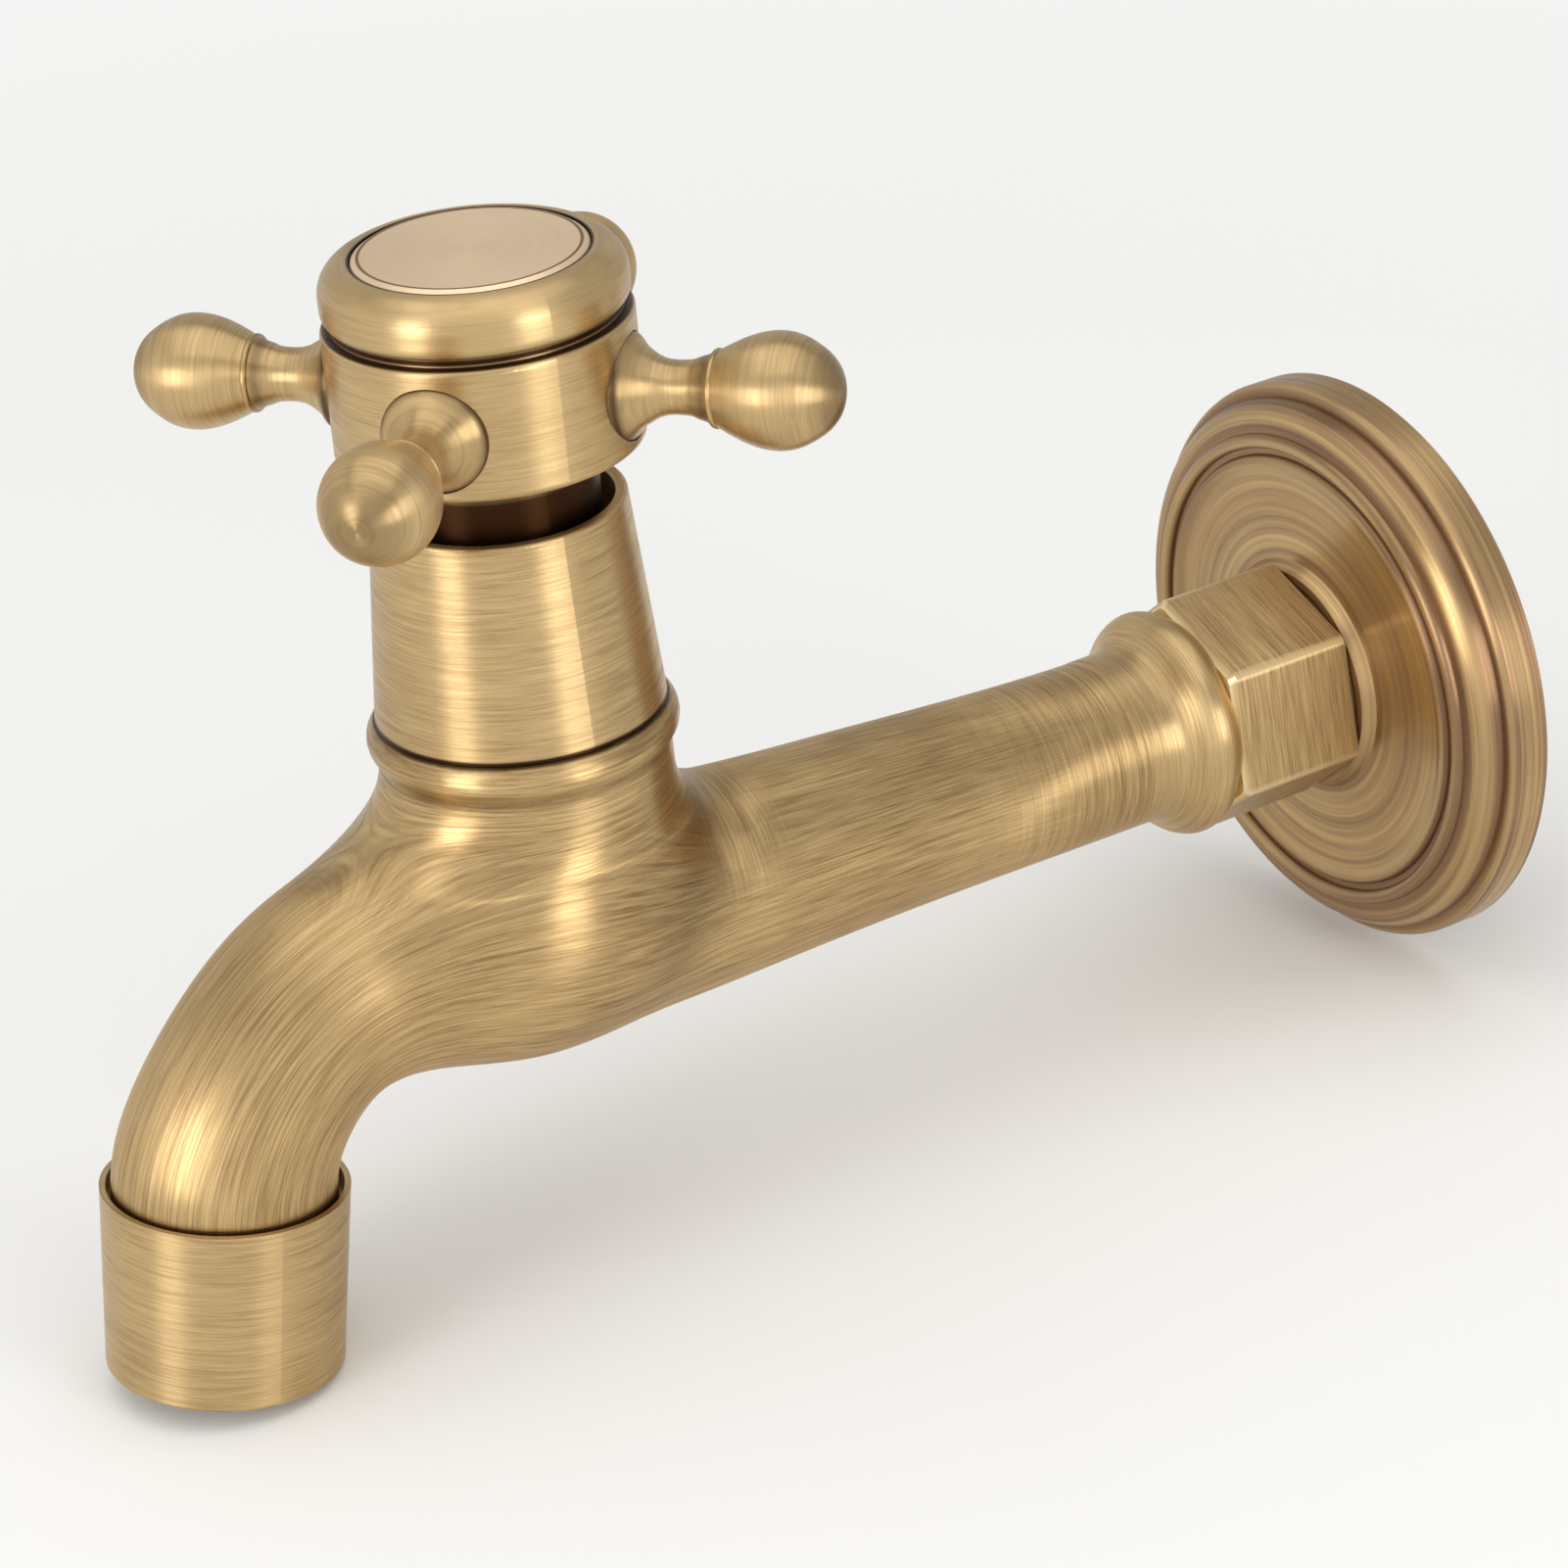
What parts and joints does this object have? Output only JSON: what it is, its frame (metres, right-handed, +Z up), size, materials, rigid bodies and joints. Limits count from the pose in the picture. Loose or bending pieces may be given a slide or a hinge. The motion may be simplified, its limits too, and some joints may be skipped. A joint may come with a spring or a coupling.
{
  "type": "kitchen sink tap",
  "caption": "Long wall-mounted sink tap in brushed antique brass: cross handle, quarter-turn valve, curved spout with aerator and a round wall plate.",
  "frame": {"origin": "on the axis of the threaded inlet shank, where it meets the wall plane", "axes": "+Y along the shank into the wall, +Z up along the valve, +X to the right seen from the room"},
  "size_m": [0.06, 0.162, 0.1034],
  "materials": {
    "antique_brass": "brushed antique finish under clear lacquer",
    "bare_brass": "turned, unplated",
    "cap_inlay": "satin, pale rose-beige",
    "steel": "turned",
    "rubber": "matt nitrile",
    "ceramic": "lapped alumina, opaque",
    "fibre": "pressed fibre washer",
    "plastic": "moulded acetal"
  },
  "bodies": {
    "body": {"tap_body": "antique_brass", "wall_plate": "antique_brass", "bonnet_cover": "antique_brass", "headwork_body": "bare_brass", "disc_cage": "bare_brass", "seat_seal": "rubber", "fixed_disc": "ceramic", "thrust_washer": "plastic", "bonnet_o_ring": "rubber", "aerator_sleeve": "antique_brass", "aerator_washer": "fibre", "aerator_insert": "plastic", "aerator_screen": "steel"},
    "handle": {"handle_hub": "antique_brass", "handle_arm_1": "antique_brass", "handle_arm_2": "antique_brass", "handle_arm_3": "antique_brass", "handle_arm_4": "antique_brass", "handle_cap": "antique_brass", "cap_inlay": "cap_inlay", "cap_o_ring": "rubber", "handle_screw": "steel", "screw_washer": "steel", "spindle": "bare_brass", "spindle_o_ring_lower": "rubber", "spindle_o_ring_upper": "rubber", "moving_disc": "ceramic", "retaining_ring": "steel"}
  },
  "joints": [
    {"name": "handle_turn", "type": "hinge", "parent": "body", "child": "handle", "pos_m": [0, -0.09885, 0], "axis": [0, 0, 1], "range_deg": [0, 90]}
  ]
}
